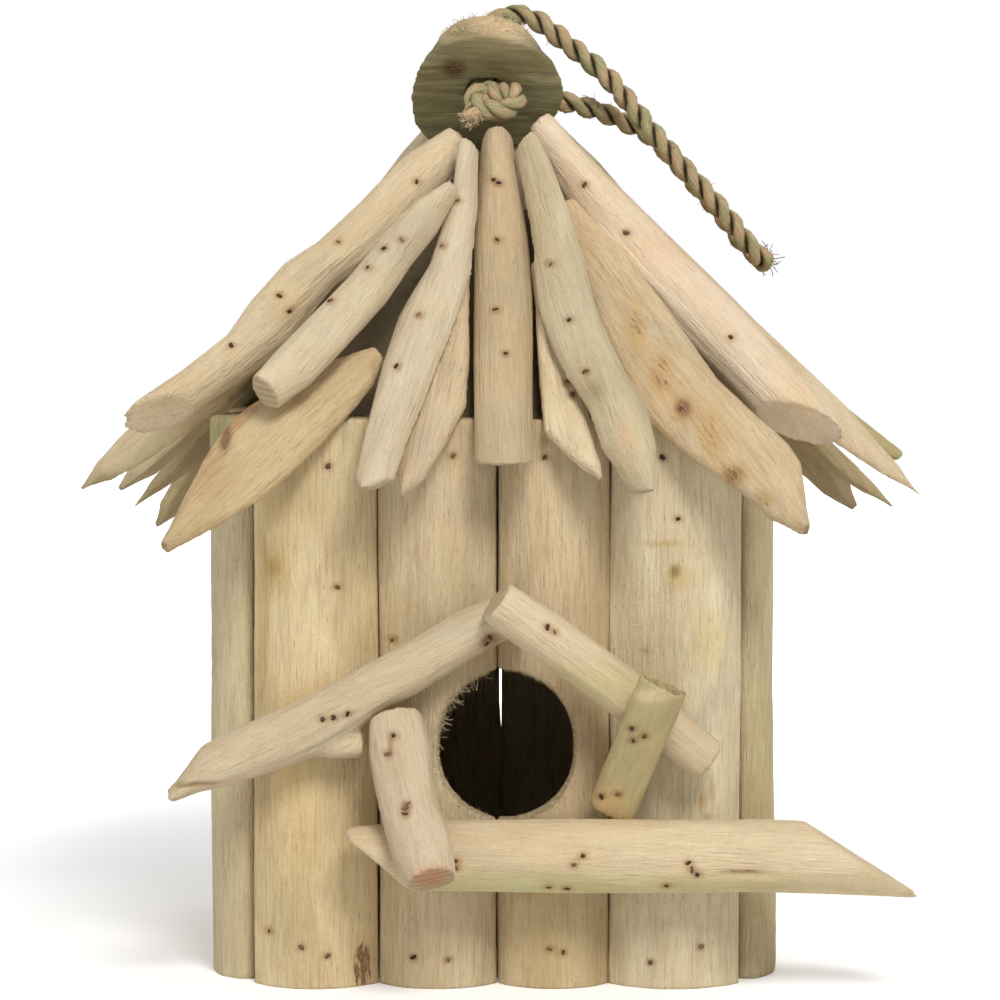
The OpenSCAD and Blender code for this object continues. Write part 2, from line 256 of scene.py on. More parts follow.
# One tree lays a rope of any number of turns along a line of edges
rope_tree, into, out = new_tree(
    "laid_rope", Pitch="Float", Lay="Float", Strand="Float", Step="Float", Bead="Float", Finish="Material")
line = add(rope_tree, "GeometryNodeMeshToCurve", {0: into["Geometry"]}).outputs[0]
line = add(rope_tree, "GeometryNodeResampleCurve", {"Curve": line, "Length": into["Step"]},
           mode="LENGTH").outputs[0]
run = add(rope_tree, "GeometryNodeSplineParameter").outputs["Length"]
line = stored(rope_tree, line, "along", run)
place = add(rope_tree, "GeometryNodeInputPosition").outputs[0]
line = stored(rope_tree, line, "axis", place, "FLOAT_VECTOR")
normal = add(rope_tree, "GeometryNodeInputNormal").outputs[0]
tangent = add(rope_tree, "GeometryNodeInputTangent").outputs[0]
across = vector_of(rope_tree, "CROSS_PRODUCT", tangent, normal)
ring = add(rope_tree, "GeometryNodeCurvePrimitiveCircle", {"Resolution": 12, "Radius": into["Strand"]},
           mode="RADIUS").outputs[0]
share = add(rope_tree, "GeometryNodeSplineParameter").outputs["Factor"]
ring = stored(rope_tree, ring, "around", share)
strands = add(rope_tree, "GeometryNodeJoinGeometry")
lumps_a_metre, fibre_turn = 330.0, 420.0
for strand in range(2):
    turn = math_of(rope_tree, "DIVIDE", run, into["Pitch"])
    turn = math_of(rope_tree, "MULTIPLY_ADD", turn, 2 * math.pi, math.pi * strand)
    one = vector_of(rope_tree, "SCALE", normal, Scale=math_of(rope_tree, "COSINE", turn))
    two = vector_of(rope_tree, "SCALE", across, Scale=math_of(rope_tree, "SINE", turn))
    off = vector_of(rope_tree, "SCALE", vector_of(rope_tree, "ADD", one, two), Scale=into["Lay"])
    laid = add(rope_tree, "GeometryNodeSetPosition", {"Geometry": line, "Offset": off}).outputs[0]
    swell = add(rope_tree, "ShaderNodeSeparateXYZ", {0: off}).outputs[1]
    swell = math_of(rope_tree, "DIVIDE", math_of(rope_tree, "ABSOLUTE", swell), into["Lay"])
    swell = math_of(rope_tree, "MULTIPLY_ADD", swell, into["Bead"], 0.9)
    lump = math_of(rope_tree, "MULTIPLY_ADD", run, lumps_a_metre, 9.0 * strand)
    lump = add(rope_tree, "ShaderNodeTexNoise", {"W": lump, "Scale": 1.0, "Detail": 0.0},
               noise_dimensions="1D").outputs[0]
    swell = math_of(rope_tree, "ADD", swell, math_of(rope_tree, "MULTIPLY_ADD", lump, 0.3, -0.15))
    laid = add(rope_tree, "GeometryNodeSetCurveRadius", {"Curve": laid, "Radius": swell}).outputs[0]
    laid = add(rope_tree, "GeometryNodeCurveToMesh",
               {"Curve": laid, "Profile Curve": ring, "Fill Caps": True}).outputs[0]
    rope_tree.links.new(laid, strands.inputs[0])
along, around = named(rope_tree, "along"), named(rope_tree, "around")
spin = math_of(rope_tree, "MULTIPLY", around, 2 * math.pi)
spin = math_of(rope_tree, "MULTIPLY_ADD", along, fibre_turn, spin)
fibre_at = add(rope_tree, "ShaderNodeCombineXYZ", {
    0: math_of(rope_tree, "MULTIPLY", math_of(rope_tree, "COSINE", spin), 1.7),
    1: math_of(rope_tree, "MULTIPLY", along, 1000.0),
    2: math_of(rope_tree, "MULTIPLY", math_of(rope_tree, "SINE", spin), 1.7)}).outputs[0]
# Each strand's own fibres stand up as fine ridges round it
ridge = add(rope_tree, "ShaderNodeTexNoise", {
    "Vector": vector_of(rope_tree, "MULTIPLY", fibre_at, (1.3, 0.16, 1.3)),
    "Scale": 1.0, "Detail": 2.0}).outputs[0]
ridge = math_of(rope_tree, "MULTIPLY", math_of(rope_tree, "SUBTRACT", ridge, 0.5), 0.0012)
body = stored(rope_tree, strands.outputs[0], "grain", fibre_at, "FLOAT_VECTOR")
axis = named(rope_tree, "axis", "FLOAT_VECTOR")
far = vector_of(rope_tree, "SUBTRACT", add(rope_tree, "GeometryNodeInputPosition").outputs[0], axis)
far = add(rope_tree, "ShaderNodeVectorMath", {0: far}, operation="LENGTH").outputs["Value"]
far = math_of(rope_tree, "DIVIDE", far, math_of(rope_tree, "ADD", into["Lay"], into["Strand"]))
body = stored(rope_tree, body, "out_from_axis", far)
push = vector_of(rope_tree, "SCALE", add(rope_tree, "GeometryNodeInputNormal").outputs[0], Scale=ridge)
body = add(rope_tree, "GeometryNodeSetPosition", {"Geometry": body, "Offset": push}).outputs[0]
closed(rope_tree, body, into["Finish"], out)


def edge_line(name, points):
    """A mesh of one chain of edges through the points."""
    mesh = bpy.data.meshes.new(name)
    mesh.from_pydata([tuple(p) for p in points], [(i, i + 1) for i in range(len(points) - 1)], [])
    return mesh


def rope_piece(name, points, strand, lay, pitch):
    """Laid rope along the points, kept under the top of the CAD box."""
    piece = grown(name, edge_line(name, points), rope_tree, Pitch=pitch, Lay=lay, Strand=strand,
                  Step=0.6 * mm, Bead=0.26, Finish=rope_grass)
    for polygon in piece.data.polygons:
        polygon.use_smooth = True
    for vertex in piece.data.vertices:
        vertex.co.z = min(vertex.co.z, cad_box[1][2])
    return piece


rope_line = smooth_line(rope_route)
rope = rope_piece("rope_loop_laid", rope_line, 1.75 * mm, 1.6 * mm, 14.4 * mm)
shown_as(rope, "rope", "rope_loop")

# ---------------------------------------------------------------- Rope knot
# The two ends of the rope are tied in one flat overhand knot on the disc's
# underside, which faces forward, with a short cut tail at its lower left.
knot_route = [
    (0.3, -12.5, 259.5), (2.6, -15.5, 261.4), (5.0, -18.5, 260.9), (6.0, -21.2, 258.2), (4.0, -23.2, 255.9),
    (0, -23.8, 255.2), (-4.2, -23.2, 255.9), (-6.9, -21.2, 258.3), (-5.6, -18.4, 261), (-2.6, -17.7, 261.5),
    (-0.2, -19.6, 260), (2.2, -19.4, 258), (4.2, -16.8, 256.2), (0.5, -15.2, 255), (-3.8, -15.2, 255.8),
    (-6.2, -14.2, 258.5), (-5.9, -12.6, 260.2),
]
knot_line = smooth_line(knot_route) * mm - np.array([0, 0, 0.8 * mm])
knot = rope_piece("rope_knot_tied", knot_line, 1.85 * mm, 1.25 * mm, 11.5 * mm)
shown_as(knot, "rope", "rope_knot")
tail_line = smooth_line([(-3, -17, 257), (-5.4, -21, 255.4), (-7.4, -23.4, 253.4), (-9, -24.6, 251)]) * mm
tail = rope_piece("rope_tail_cut", tail_line, 1.9 * mm, 1.5 * mm, 16 * mm)
shown_as(tail, "rope")

# ---------------------------------------------------------------- Walls
# Sixteen upright half-round driftwood slabs, sea-worn and nailed edge to edge
# round the floor and ceiling boards. Two of them carry the sawn entrance.


def lattice(points, seed):
    """Smooth noise from -1 to 1 with one value a unit cell."""
    cell = np.floor(points).astype(np.int64)
    part = points - cell
    part = part * part * (3 - 2 * part)
    total = np.zeros(len(points))
    for corner in range(8):
        step = np.array([corner & 1, corner >> 1 & 1, corner >> 2 & 1])
        at = cell + step
        code = at[:, 0] * 73856093 ^ at[:, 1] * 19349663 ^ at[:, 2] * 83492791 ^ seed * 2654435761
        code = (code & 0x7FFFFFFF) * 1103515245 + 12345 >> 9 & 0xFFFF
        total += np.prod(np.where(step, part, 1 - part), axis=1) * (code / 32767.5 - 1)
    return total


def wood(name, pale, tan, streak, fleck, roughness=0.82, contrast=1.0):
    """Weathered wood whose grain follows the piece's own grain attribute, in millimetres.

    tint colours a place, bark leaves it brown and cut shows the end grain, which is darkened partly as
    painted shade.
    """
    material, tree, main = shader(name, roughness)
    grain = attribute(tree, "grain")
    tint = attribute(tree, "tint", "Color")
    bark = attribute(tree, "bark", "Fac")
    cut = attribute(tree, "cut", "Fac")

    def amount(value, low, high, most):
        return math_of(tree, "MULTIPLY", ramp(tree, value, low, high), most * contrast)

    broad = stretched(tree, grain, (0.07, 0.022, 0.07), detail=5, roughness=0.6, distortion=0.8)
    grey_at = stretched(tree, grain, (0.05, 0.016, 0.05), detail=6, roughness=0.65, distortion=1.2)
    rose_at = stretched(tree, vector_of(tree, "ADD", grain, (40, 90, 10)), (0.06, 0.02, 0.06),
                        detail=5, distortion=1.0)
    waves = stretched(tree, grain, (0.38, 0.035, 0.38), detail=4, roughness=0.6, distortion=0.9)
    lines = stretched(tree, grain, (1.1, 0.07, 1.1), detail=4, roughness=0.65)
    hairs = stretched(tree, grain, (3.2, 0.13, 3.2), detail=3, roughness=0.6)
    dashes = stretched(tree, grain, (1.4, 0.22, 1.4), detail=3, roughness=0.6)
    grit = stretched(tree, grain, (2.4, 1.2, 2.4), detail=4, roughness=0.65)
    colour = blend(tree, ramp(tree, broad, 0.36, 0.64), pale, tan)
    colour = blend(tree, amount(grey_at, 0.5, 0.68, 0.5), colour, (0.49, 0.435, 0.315))
    colour = blend(tree, amount(rose_at, 0.52, 0.7, 0.35), colour, (0.66, 0.47, 0.31))
    colour = blend(tree, amount(waves, 0.5, 0.68, 0.42), colour, streak)
    colour = blend(tree, amount(lines, 0.5, 0.7, 0.6), colour, streak)
    colour = blend(tree, amount(hairs, 0.5, 0.72, 0.5), colour, streak)
    colour = blend(tree, amount(dashes, 0.62, 0.74, 0.6), colour, fleck)
    light = math_of(tree, "MULTIPLY_ADD", grit, 0.34, 0.83)
    colour = vector_of(tree, "SCALE", colour, Scale=light)
    colour = blend(tree, 1.0, colour, tint, "MULTIPLY")
    # end grain: rings about the piece's own axis, darker than the sides, partly as real end grain and
    # partly as painted shade
    flat = vector_of(tree, "MULTIPLY", grain, (1, 0, 1))
    rings = add(tree, "ShaderNodeVectorMath", {0: flat}, operation="LENGTH").outputs["Value"]
    rings = math_of(tree, "MULTIPLY_ADD", rings, 2.6, math_of(tree, "MULTIPLY", grit, 4.0))
    rings = math_of(tree, "SINE", rings)
    end_grain_and_shade = blend(tree, math_of(tree, "MULTIPLY_ADD", rings, 0.3, 0.55), tan, fleck)
    end_grain_and_shade = blend(tree, 1.0, end_grain_and_shade, tint, "MULTIPLY")
    colour = blend(tree, math_of(tree, "MULTIPLY", cut, 0.7), colour, end_grain_and_shade)
    # bark that has not worn off, with a ragged outline along the grain
    ragged = math_of(tree, "ADD", bark, math_of(tree, "MULTIPLY_ADD", dashes, 1.5, -0.78))
    scales = blend(tree, ramp(tree, grit, 0.4, 0.62), (0.20, 0.105, 0.05), (0.40, 0.235, 0.125))
    colour = blend(tree, ramp(tree, ragged, 0.38, 0.58), colour, scales)
    tree.links.new(colour, main.inputs["Base Color"])
    height = math_of(tree, "MULTIPLY_ADD", lines, -1.0, math_of(tree, "MULTIPLY", grit, 0.6))
    height = math_of(tree, "MULTIPLY_ADD", hairs, -0.5, height)
    height = math_of(tree, "MULTIPLY_ADD", waves, -0.9, height)
    bumped(tree, main, height, 0.8, 0.0011)
    return material


wall_wood = wood("wall_wood", (0.71, 0.585, 0.39), (0.62, 0.485, 0.30), (0.47, 0.335, 0.205),
                 (0.29, 0.19, 0.11))

# Where the maker's nails went in on the front, by piece, in millimetres across and up
front_nails = {
    "front_slab_1": [(-48, 150), (-65.5, 16), (-56, 12), (-48.5, 9.5), (-45.5, 115.5)],
    "front_slab_2": [(-12.5, 153), (-30, 100), (-24, 9), (-14, 8.5)],
    "front_slab_3": [(13.5, 152.5), (15, 11.5), (19, 10.5)],
    "front_slab_4": [(47, 152.5), (44, 7.5), (58.5, 12), (51.5, 135)],
    "perch": [(-11.5, 40.5), (-11.5, 38.5), (24, 42), (21.5, 39.5), (14.5, 32.5), (19.5, 32), (54.5, 38),
              (47.5, 33), (53.5, 40), (56, 36.5)],
    "gable_stick_left": [(-49, 79.5), (-46, 80), (-42, 81), (-2, 102.5), (-3, 100.5)],
    "gable_stick_right": [(14, 106.5), (16, 105)],
    "post_right": [(37.5, 78), (41, 76), (29.5, 57), (34, 58), (38, 74.5)],
    "post_left": [(-29, 75.5), (-30.5, 70.5), (-25, 57.5), (-25.5, 55), (-25.5, 56.5)],
    "roof_pole_12": [(-24, 232.5), (-47, 214.5), (-64, 198.5), (-61, 194), (-78, 184)],
    "roof_pole_13": [(-27.5, 214.5), (-32.5, 212), (-37, 206.5), (-47.5, 197)],
    "roof_pole_14": [(-11.5, 226.5), (-16, 213), (-22.5, 193), (-28.5, 178.5)],
    "roof_pole_1": [(-1, 233), (0.5, 232), (0, 215), (-0.5, 194.5), (2.5, 182)],
    "roof_pole_2": [(15.5, 207.5), (20.5, 191.5), (25, 177)],
    "roof_pole_3": [(26, 231.5), (38, 217), (67.5, 186.5)],
    "roof_slat_2": [(52, 166.5)],
    "roof_slat_1": [(13.5, 193.5), (20, 174), (21.5, 170.5)],
}


# What each nail leaves round it: half width, half height, tone, depth and bark
nail_dent = (1.7, 1.3, (0.70, 0.56, 0.45), -0.35, 0.12)


def rows_of(mesh, field):
    """A vector that each point of the mesh has, as rows."""
    values = np.empty(len(mesh.vertices) * 3)
    mesh.vertices.foreach_get(field, values)
    return values.reshape(-1, 3)


def worn(node, finish, slot, seed, voxel, sway, tone=(1, 1, 1), rough=0.10, soften=4,
         grain_along=None, marks=(), shape=None, torn=0.5, reach=0.9, pointed=0):
    """The CAD piece as worn wood: remeshed, softened, ridged along its grain and toned.

    marks are (x, z, half width, half height, tone, depth, bark) on the face
    turned to the front; shape moves the points, in millimetres, before the wear;
    reach gives the ends back what the softening took; pointed draws the foot to a tip.
    """
    mesh = nodes[node].data.copy()
    welded = bmesh.new()
    welded.from_mesh(mesh)
    bmesh.ops.remove_doubles(welded, verts=welded.verts, dist=1e-6)
    welded.to_mesh(mesh)
    welded.free()
    holder = bpy.data.objects.new("holder", mesh)
    scene.collection.objects.link(holder)
    remesh = holder.modifiers.new("remesh", "REMESH")
    remesh.mode = "VOXEL"
    remesh.voxel_size = voxel * mm
    soft = holder.modifiers.new("soften", "SMOOTH")
    soft.factor = 0.5
    soft.iterations = soften
    graph = bpy.context.evaluated_depsgraph_get()
    made = bpy.data.meshes.new_from_object(holder.evaluated_get(graph), depsgraph=graph)
    bpy.data.objects.remove(holder)

    count = len(made.vertices)
    at, out = rows_of(made, "co") * 1000, rows_of(made, "normal")
    if shape:
        at = shape(at)

    middle = at.mean(axis=0)
    if grain_along is None:
        grain_along = np.linalg.svd((at - middle)[:: max(1, count // 2000)], full_matrices=False)[2][0]
    along = np.array(grain_along, float) / np.linalg.norm(grain_along)
    side = np.cross(along, (0.31, 0.9, 0.22) if abs(along[1]) < 0.9 else (0.9, 0.1, 0.3))
    side /= np.linalg.norm(side)
    third = np.cross(along, side)
    own = (at - middle) @ np.stack([side, along, third], axis=1)
    share = own[:, 1] / np.abs(own[:, 1]).max()
    at = at + np.outer(reach * share**7, along)
    if pointed:
        foot = share * (-1 if along[2] > 0 else 1)
        foot /= foot.max()
        inward = at[foot > 0.97].mean(axis=0) - at
        inward -= np.outer(inward @ along, along)
        at = at + inward * (pointed * np.clip((foot - 0.86) / 0.14, 0, 1))[:, None]
    # each piece takes its grain from another part of the same pattern
    shifted = own + np.array([seed * 37.1 % 211, seed * 91.7 % 503, seed * 53.9 % 307])

    # swells along the piece, then ridges and pits, and last the ragged ends
    lift = sway * lattice(shifted * (0.06, 0.02, 0.06), seed)
    lift += 0.45 * sway * lattice(shifted * (0.2, 0.035, 0.2), seed + 5)
    lift += rough * lattice(shifted * (0.75, 0.05, 0.75), seed + 9)
    lift += 0.6 * rough * lattice(shifted * (0.4, 0.4, 0.4), seed + 13)
    ends = np.clip((np.abs(out @ along) - 0.62) / 0.25, 0, 1)
    lift -= ends * torn * np.abs(lattice(own * (0.3, 0.0, 0.3) + seed, seed + 21))
    lift -= ends * 0.5 * torn * np.abs(lattice(own * (0.9, 0.0, 0.9) + seed, seed + 23))
    marks = list(marks) + [(x, z, *nail_dent) for x, z in front_nails.get(node, ())]

    colour = np.ones((count, 3)) * tone
    colour *= (1 + 0.07 * lattice(shifted * (0.05, 0.012, 0.05), seed + 31))[:, None]
    bark = np.zeros(count)
    for x, z, wide, high, mark_tone, depth, peel in marks:
        near = np.exp(-(((at[:, 0] - x) / wide) ** 2 + ((at[:, 2] - z) / high) ** 2) ** 1.5)
        near *= np.clip(0.35 - out[:, 1] * 1.2, 0, 1)
        lift += depth * near
        colour *= 1 + near[:, None] * (np.array(mark_tone) - 1)
        bark = np.maximum(bark, near * peel)
    at = at + out * lift[:, None]
    low, high = np.array(cad_box[0]) * 1000, np.array(cad_box[1]) * 1000
    at = np.clip(at, low, high)

    made.vertices.foreach_set("co", (at * mm).ravel())
    for name, kind, values in (("grain", "FLOAT_VECTOR", shifted), ("bark", "FLOAT", bark),
                               ("cut", "FLOAT", ends)):
        field = made.attributes.new(name, kind, "POINT")
        field.data.foreach_set("vector" if kind == "FLOAT_VECTOR" else "value", values.ravel())
    field = made.attributes.new("tint", "FLOAT_COLOR", "POINT")
    field.data.foreach_set("color", np.concatenate([colour, np.ones((count, 1))], axis=1).ravel())
    made.polygons.foreach_set("use_smooth", np.ones(len(made.polygons), bool))
    made.materials.clear()
    made.materials.append(finish)
    made.name = node + "_wood"
    piece = bpy.data.objects.new(node + "_wood", made)
    scene.collection.objects.link(piece)
    return shown_as(piece, slot, node)


yellow, rosy, pale = (1.22, 1.20, 1.08), (1.06, 1.07, 1.02), (1.18, 1.24, 1.24)
front_marks = {
    1: [(-63.5, 120, 5, 9, (0.80, 0.76, 0.60), 0, 0), (-64, 121, 2.2, 3, (0.80, 0.72, 0.55), -0.3, 0.1),
        (-38.5, 6, 3.4, 8, (0.9, 0.84, 0.78), -0.3, 0.66), (-57, 60, 8, 30, (1.04, 1.0, 0.88), 0, 0),
        (-67.5, 90, 2.5, 45, (0.80, 0.76, 0.66), -0.5, 0), (-60, 22, 9, 16, (0.90, 0.90, 0.86), 0, 0),
        # The first mark on the next line is painted shade under the eaves at the top corner
        (-74, 160, 9, 8, (0.62, 0.64, 0.50), 0, 0), (-47, 84, 5, 20, (1.06, 1.06, 1.04), 0, 0),
        (-59, 140, 8, 7, (0.94, 0.92, 0.84), 0, 0)],
    2: [(-17, 140, 12, 25, (1.02, 0.98, 0.97), 0, 0), (-30, 60, 5, 50, (1.0, 0.98, 0.92), 0, 0)],
    3: [(17, 15, 12, 25, (1.0, 1.0, 0.92), 0, 0)],
    4: [(50.5, 120, 1.6, 2.0, (0.50, 0.44, 0.26), -0.7, 0.1),
        (51.5, 118, 4.2, 3.4, (0.94, 0.88, 0.70), 0.5, 0),
        (47, 128, 6, 1.0, (0.88, 0.80, 0.64), 0.15, 0), (60, 60, 6, 60, (1.0, 1.02, 1.03), 0, 0),
        (58.5, 54, 1.2, 3.4, (0.80, 0.70, 0.55), -0.5, 0), (61.5, 57, 1.0, 4, (0.84, 0.74, 0.6), -0.5, 0),
        (60, 49, 1.4, 1.6, (0.82, 0.72, 0.58), -0.4, 0), (42, 97, 1.6, 1.0, (0.82, 0.72, 0.6), -0.3, 0),
        # On the next line: painted shade under the eaves at the top corner, then a painted bright line
        # where light shows through the slit between the slabs
        (74, 160, 8, 8, (0.62, 0.64, 0.50), 0, 0), (32.9, 107, 0.7, 6, (1.25, 1.3, 1.4), 0, 0),
        (60.5, 100, 5, 9, (1.04, 1.0, 0.86), 0.2, 0)],
}
front_tones = {1: yellow, 2: rosy, 3: (1.05, 1.01, 0.94), 4: pale}
for index in range(1, 5):
    worn(f"front_slab_{index}", wall_wood, "wall_slabs", 10 + index, voxel=0.8, tone=front_tones[index],
         marks=front_marks[index], sway=0.5, soften=3, reach=1.6, torn=0.3)


def open_joint(at):
    """The joint of the middle back slabs stands open behind the entrance, in a narrow wedge."""
    gap = np.clip((at[:, 2] - 50) / 14, 0, 1) * np.clip((98 - at[:, 2]) / 10, 0, 1)
    right = at[:, 0] > 2
    near = np.clip(2.2 - np.abs(at[:, 0] - 2), 0, 1)
    moved = at.copy()
    moved[:, 0] -= near * np.where(right, 0.7 - 0.25 * gap, 0.3 + 1.0 * gap)
    return moved


def leaning(at):
    """The foremost right slab leans in a little towards its top."""
    moved = at.copy()
    moved[:, 0] -= 1.5 * np.clip((at[:, 2] - 25) / 60, 0, 1) * np.clip((at[:, 0] - 72) / 8, 0, 1)
    return moved


# Painted shade: greenish darkening under the eaves at the top corners, and over the whole of the foremost
# right slab
painted_shade_marks = {"left_slab_4": [(-80, 158, 12, 9, (0.58, 0.61, 0.46), 0, 0)],
        "right_slab_1": [(80, 156, 14, 22, (0.62, 0.64, 0.50), 0, 0),
                         (80, 60, 14, 90, (0.90, 0.92, 0.83), 0, 0)]}
slab_shapes = {"back_slab_2": open_joint, "back_slab_3": open_joint, "right_slab_1": leaning}
side_tones = [pale, yellow, (1.08, 1.05, 0.96), rosy]
for number, wall in enumerate(("right", "back", "left")):
    for index in range(1, 5):
        tone = side_tones[(index * 3 + number * 2) % 4]
        if wall == "left" and index == 4:
            tone = (1.06, 1.12, 1.06)
        node = f"{wall}_slab_{index}"
        worn(node, wall_wood, "wall_slabs", 30 + number * 10 + index, voxel=1.25, tone=tone, sway=0.5,
             shape=slab_shapes.get(node), marks=painted_shade_marks.get(node, ()), reach=1.6, torn=0.3)

# ---------------------------------------------------------------- Floor, ceiling, post and inner roof
# Sawn softwood boards that the slabs are nailed to, and the post in the roof. A
# dark shell closes the roof under the sticks; what the real one has there isn't
# known. All are seen only from below or through gaps.
board_wood = wood("board_wood", (0.40, 0.32, 0.20), (0.34, 0.26, 0.155), (0.25, 0.17, 0.095),
                  (0.15, 0.10, 0.05))
# The inner roof's darker tone is painted shade in the gaps between the sticks
for seed, node in enumerate(("floor_board", "ceiling_board", "roof_post", "inner_roof")):
    worn(node, board_wood, "inner_boards", 70 + seed, voxel=1.8, rough=0.05, sway=0.1, soften=2, reach=0,
         tone=(0.42, 0.40, 0.34) if node == "inner_roof" else (1, 1, 1),
         grain_along=(1, 0, 0) if "board" in node else (0, 0, 1))

# ---------------------------------------------------------------- Roof slats
# The lower layer: thin split slats with pointed ends, some with bark stains,
# nailed over the top edge of the walls.
slat_wood = wood("slat_wood", (0.69, 0.56, 0.37), (0.61, 0.47, 0.29), (0.47, 0.325, 0.19),
                 (0.28, 0.18, 0.10), contrast=1.05)
slat_marks = {
    2: [(52.6, 166.5, 2.2, 2.6, (0.5, 0.4, 0.32), 0.4, 0.65),
        (52.6, 166.5, 4, 4.4, (0.92, 0.80, 0.66), 0.3, 0.1),
        (40, 189, 3.4, 10, (0.95, 0.85, 0.69), 0, 0.36), (47, 176, 4, 8, (0.94, 0.83, 0.66), 0, 0.38),
        (60, 160, 4, 8, (0.96, 0.87, 0.72), 0, 0.34),
        (66, 148.5, 3.5, 3.2, (0.7, 0.55, 0.38), -0.4, 0.6), (74, 142, 3, 2.5, (0.9, 0.78, 0.6), 0, 0.4)],
    10: [(-76.5, 158.5, 1.8, 4, (0.42, 0.32, 0.26), -0.7, 0.65),
         (-75, 163, 4.5, 3.5, (0.84, 0.70, 0.58), 0.4, 0.2),
         (-71, 168, 4, 3, (0.86, 0.64, 0.52), 0, 0.2), (-80, 150, 5, 9, (0.93, 0.84, 0.76), 0, 0)],
}


def right_slat_shape(at):
    """The broad right slat reaches in under the edge of the log above it."""
    moved = at.copy()
    upward = np.array((0.804, 0, 0.594))
    from_middle = (at - at.mean(axis=0)) @ upward
    fade = np.clip((at[:, 2] - 140) / 14, 0, 1)
    moved += np.outer(4.6 * fade * np.clip(from_middle / 9, 0, 1), upward)
    return moved


# The olive tones of the side slats 3, 4, 8 and 9 are painted shade
right_painted_shade, left_painted_shade = (0.83, 0.82, 0.68), (0.82, 0.83, 0.68)
slat_tones = {1: (1.22, 1.24, 1.22), 2: (1.08, 1.03, 0.96), 3: right_painted_shade, 4: right_painted_shade,
              8: left_painted_shade, 9: left_painted_shade, 10: (1.04, 0.99, 0.86), 11: (1.17, 1.18, 1.18)}
sharp_slats = (1, 3, 4, 8, 9, 11)
for index in range(1, 12):
    worn(f"roof_slat_{index}", slat_wood, "roof_slats", 80 + index, voxel=0.8,
         tone=slat_tones.get(index, (0.95, 0.93, 0.85)), marks=slat_marks.get(index, ()), sway=0.5,
         rough=0.12, torn=0.8, pointed=0.7 if index in sharp_slats else 0,
         shape=right_slat_shape if index == 2 else None)

# ---------------------------------------------------------------- Roof sticks
# The upper layer: round and half-round driftwood sticks, bleached and smooth,
# each nailed at its head to the post and lower down to the slats.
stick_wood = wood("stick_wood", (0.76, 0.635, 0.455), (0.69, 0.55, 0.37), (0.55, 0.41, 0.26),
                  (0.35, 0.24, 0.15), roughness=0.78, contrast=0.72)
stick_tones = {
    1: (0.90, 0.84, 0.73), 2: (0.91, 0.93, 0.85), 3: (1.20, 1.16, 1.17), 4: (1.06, 1.02, 0.95),
    # The darker olive tones of sticks 5 and 10 on the next line are painted shade
    5: (0.72, 0.72, 0.50), 10: (0.85, 0.85, 0.70), 11: (1.0, 0.98, 0.84), 12: (1.10, 1.07, 0.98),
    13: (1.02, 1.01, 0.94), 14: (1.02, 1.04, 1.02),
}
stick_marks = {
    # The greenish mark at the foot of stick 11 is painted shade
    11: [(-118, 141, 5, 4, (0.6, 0.66, 0.46), 0, 0)],
    2: [(27, 172, 3, 3.5, (0.74, 0.70, 0.66), -0.3, 0.2), (36, 158, 3, 9, (1.05, 0.93, 0.88), 0, 0)],
    3: [(48, 212, 9, 6, (1.0, 0.93, 0.90), 0, 0), (88, 170, 8, 7, (1.0, 0.95, 0.86), 0, 0)],
    12: [(-62, 196, 6, 6, (1.0, 0.96, 0.9), 0.6, 0)],
}


def head_in(at):
    """The sticks to the right of the ridge stick press together at their heads."""
    moved = at.copy()
    towards = -1 if at[:, 0].mean() > 30 else 1
    up, down = np.clip((at[:, 2] - 195) / 15, 0, 1), np.clip((250 - at[:, 2]) / 10, 0, 1)
    moved[:, 0] += towards * 1.3 * up * down
    return moved


front_sticks, sharp_sticks = (1, 2, 3, 12, 13, 14), (4, 10, 11)
for index in range(1, 15):
    worn(f"roof_pole_{index}", stick_wood, "roof_poles", 100 + index,
         voxel=0.85 if index in front_sticks else 1.1, tone=stick_tones.get(index, (1.0, 0.97, 0.88)),
         marks=stick_marks.get(index, ()), sway=0.6, torn=0.12, soften=3, reach=1.0,
         pointed=0.8 if index in sharp_sticks else 0, shape=head_in if index in (2, 3) else None)

# ---------------------------------------------------------------- Cap disc
# A round piece sawn from a plank, leaning back on the post's top, with a rope
# hole, a dark knot and a torn, fibrous upper edge.
# The disc's wood is painted shade, darker than its own wood
cap_wood_in_painted_shade = wood("cap_wood_in_painted_shade", (0.275, 0.245, 0.115), (0.225, 0.19, 0.085), (0.17, 0.135, 0.06),
                (0.10, 0.07, 0.03), contrast=0.55)
cap_marks_with_painted_light = [
    (-13, 266.5, 4, 2.4, (0.38, 0.28, 0.22), -0.8, 0.4), (-13, 266.5, 1.6, 1, (0.6, 0.5, 0.4), 0.5, 0),
    # The bright marks along the upper edge are painted light over its paler torn fibres
    (-2, 281.5, 17, 4.2, (2.3, 2.05, 2.3), 0.4, 0), (7, 277, 10, 3, (1.6, 1.5, 1.65), 0.4, 0),
    (-17, 276.5, 4.5, 2.4, (1.7, 1.55, 1.7), 0.3, 0), (0, 266, 7, 3, (0.75, 0.7, 0.66), -0.5, 0),
]


def cap_shape(at):
    """The disc narrows to its back edge at the sides and bulges at its lower left."""
    middle = np.array((-2.8, -12, 259.9))
    lean = 0.7071
    up, back = np.array((0, -lean, lean)), np.array((0, lean, lean))
    across, rise, depth = at[:, 0] - middle[0], (at - middle) @ up, (at - middle) @ back
    turn = np.arctan2(rise, across)
    bulge = 0.15 * np.exp(-(((turn + 2.4) / 0.45) ** 2)) + 0.04 * np.exp(-(((turn - 2.3) / 0.35) ** 2))
    across = across * (1 + bulge - 0.24 * np.clip(depth / 10, 0, 1))
    rise = rise * (1 + bulge - 0.04 * np.clip(depth / 10, 0, 1))
    return middle + across[:, None] * np.array((1, 0, 0)) + rise[:, None] * up + depth[:, None] * back


